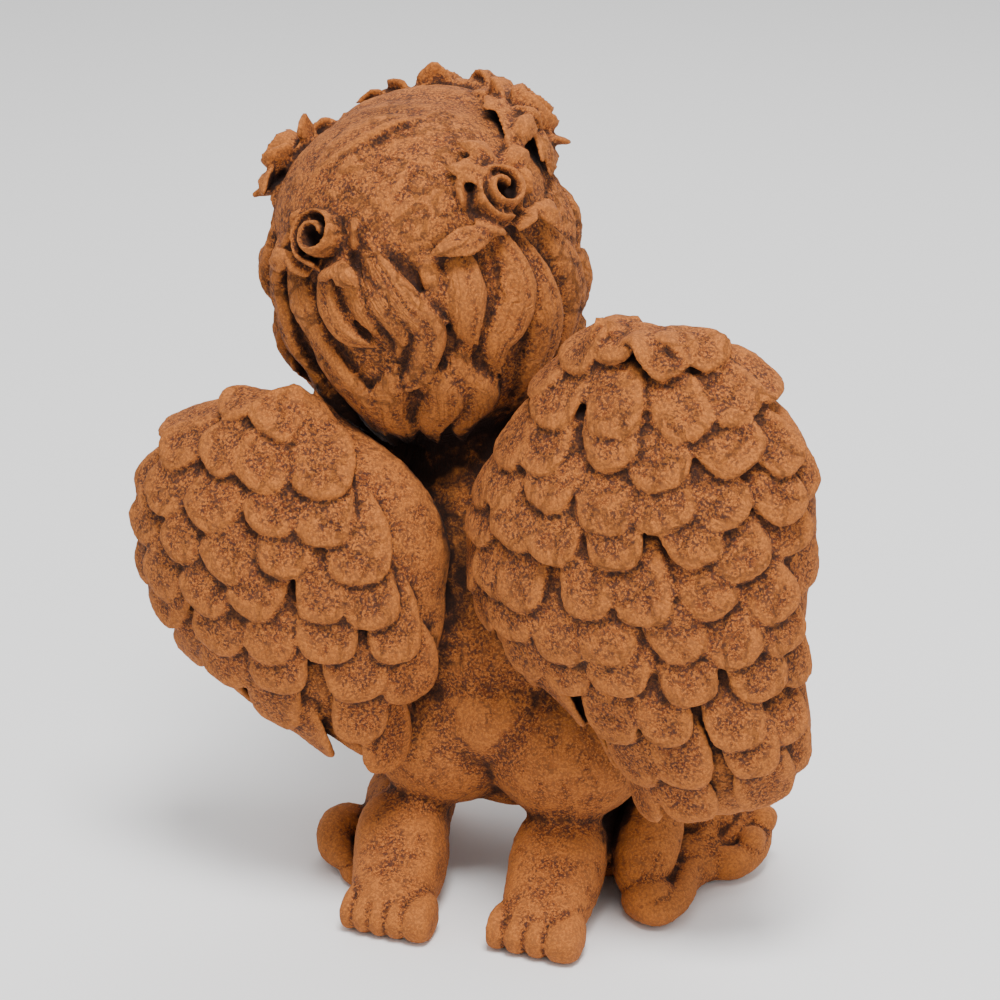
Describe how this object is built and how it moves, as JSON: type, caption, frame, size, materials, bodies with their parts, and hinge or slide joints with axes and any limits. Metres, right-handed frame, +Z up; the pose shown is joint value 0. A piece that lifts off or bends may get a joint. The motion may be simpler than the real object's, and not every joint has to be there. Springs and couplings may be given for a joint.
{
  "type": "garden angel figurine",
  "caption": "Kneeling child angel with folded feathered wings, a rose wreath on curly hair, hands joined in front and cloth trailing at its sides, cast in one with a rusted surface",
  "frame": {"origin": "centre of the bounding box in plan, on the ground that the figure kneels on", "axes": "+Z up, the figure faces +Y, its feathered back is towards -Y and its right side is on +X"},
  "size_m": [0.251, 0.1476, 0.295],
  "materials": {
    "rusted_iron": "rough orange-brown rust"
  },
  "bodies": {
    "root": {"angel_figurine": "rusted_iron"}
  },
  "joints": []
}
